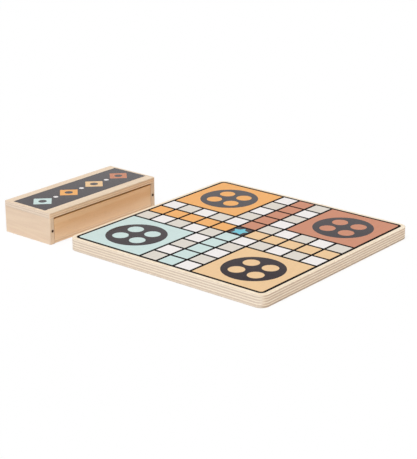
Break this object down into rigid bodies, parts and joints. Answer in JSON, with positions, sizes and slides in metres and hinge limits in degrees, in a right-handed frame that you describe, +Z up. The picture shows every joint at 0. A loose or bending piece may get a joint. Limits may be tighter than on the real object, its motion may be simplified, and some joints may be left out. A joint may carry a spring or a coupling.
{
  "type": "ludo board",
  "caption": "Square plywood ludo board with a printed cross track and coloured corner yards, beside a low wooden box whose sliding tray holds the pawns and the die.",
  "frame": {"origin": "centre of the board's underside, on the table", "axes": "+Z up, X and Y along the sides of the board, the box beyond the board's +Y side with its length along X"},
  "size_m": [0.2835, 0.382, 0.039],
  "materials": {
    "birch_long": "clear matt lacquer",
    "birch_crossband": "clear matt lacquer",
    "box_wood": "clear matt lacquer",
    "tray_ply": "clear matt lacquer",
    "pin_steel": "blackened steel",
    "tray_wood": "clear matt lacquer",
    "ink_mint": "matt printed ink",
    "ink_orange": "matt printed ink",
    "ink_yellow": "matt printed ink",
    "ink_terracotta": "matt printed ink",
    "ink_lines": "matt printed ink",
    "ink_charcoal": "matt printed ink",
    "ink_white": "matt printed ink",
    "ink_grey": "matt printed ink",
    "ink_star": "matt printed ink",
    "pawn_mint": "satin paint",
    "pawn_orange": "satin paint",
    "pawn_yellow": "satin paint",
    "pawn_terracotta": "satin paint",
    "die_wood": "clear satin lacquer"
  },
  "bodies": {
    "board": {"board_ply_1": "birch_long", "board_ply_2": "birch_crossband", "board_ply_3": "birch_long", "board_ply_4": "birch_crossband", "board_ply_5": "birch_long", "board_ply_6": "birch_crossband", "board_ply_7": "birch_long", "board_ply_8": "birch_crossband", "board_ply_9": "birch_long", "board_ply_10": "birch_crossband", "board_ply_11": "birch_long", "print_lines": "ink_lines", "print_charcoal": "ink_charcoal", "print_white": "ink_white", "print_grey": "ink_grey", "print_star": "ink_star", "print_mint": "ink_mint", "print_orange": "ink_orange", "print_yellow": "ink_yellow", "print_terracotta": "ink_terracotta"},
    "box_cover": {"box_top_ply_1": "birch_long", "box_top_ply_2": "birch_crossband", "box_top_ply_3": "birch_long", "box_top_ply_4": "birch_crossband", "box_top_ply_5": "birch_long", "box_end_near": "box_wood", "box_end_far": "box_wood", "pin_near": "pin_steel", "pin_far": "pin_steel", "box_print_charcoal": "ink_charcoal", "box_print_white": "ink_white", "box_print_mint": "ink_mint", "box_print_orange": "ink_orange", "box_print_yellow": "ink_yellow", "box_print_terracotta": "ink_terracotta"},
    "tray": {"tray_bottom": "tray_ply", "tray_front": "tray_wood", "tray_back": "tray_wood", "tray_end_near": "tray_wood", "tray_end_far": "tray_wood", "runner_near": "box_wood", "runner_far": "box_wood", "pawn_mint_1": "pawn_mint", "pawn_mint_2": "pawn_mint", "pawn_mint_3": "pawn_mint", "pawn_mint_4": "pawn_mint", "pawn_orange_1": "pawn_orange", "pawn_orange_2": "pawn_orange", "pawn_orange_3": "pawn_orange", "pawn_orange_4": "pawn_orange", "pawn_yellow_1": "pawn_yellow", "pawn_yellow_2": "pawn_yellow", "pawn_yellow_3": "pawn_yellow", "pawn_yellow_4": "pawn_yellow", "pawn_terracotta_1": "pawn_terracotta", "pawn_terracotta_2": "pawn_terracotta", "pawn_terracotta_3": "pawn_terracotta", "pawn_terracotta_4": "pawn_terracotta", "die": "die_wood", "die_pips": "ink_charcoal"}
  },
  "joints": [
    {"name": "box_aside", "type": "slide", "parent": "board", "child": "box_cover", "axis": [0, 1, 0], "range_m": [0, 0.1]},
    {"name": "tray_slide", "type": "slide", "parent": "box_cover", "child": "tray", "axis": [0, 1, 0], "range_m": [0, 0.045]}
  ]
}
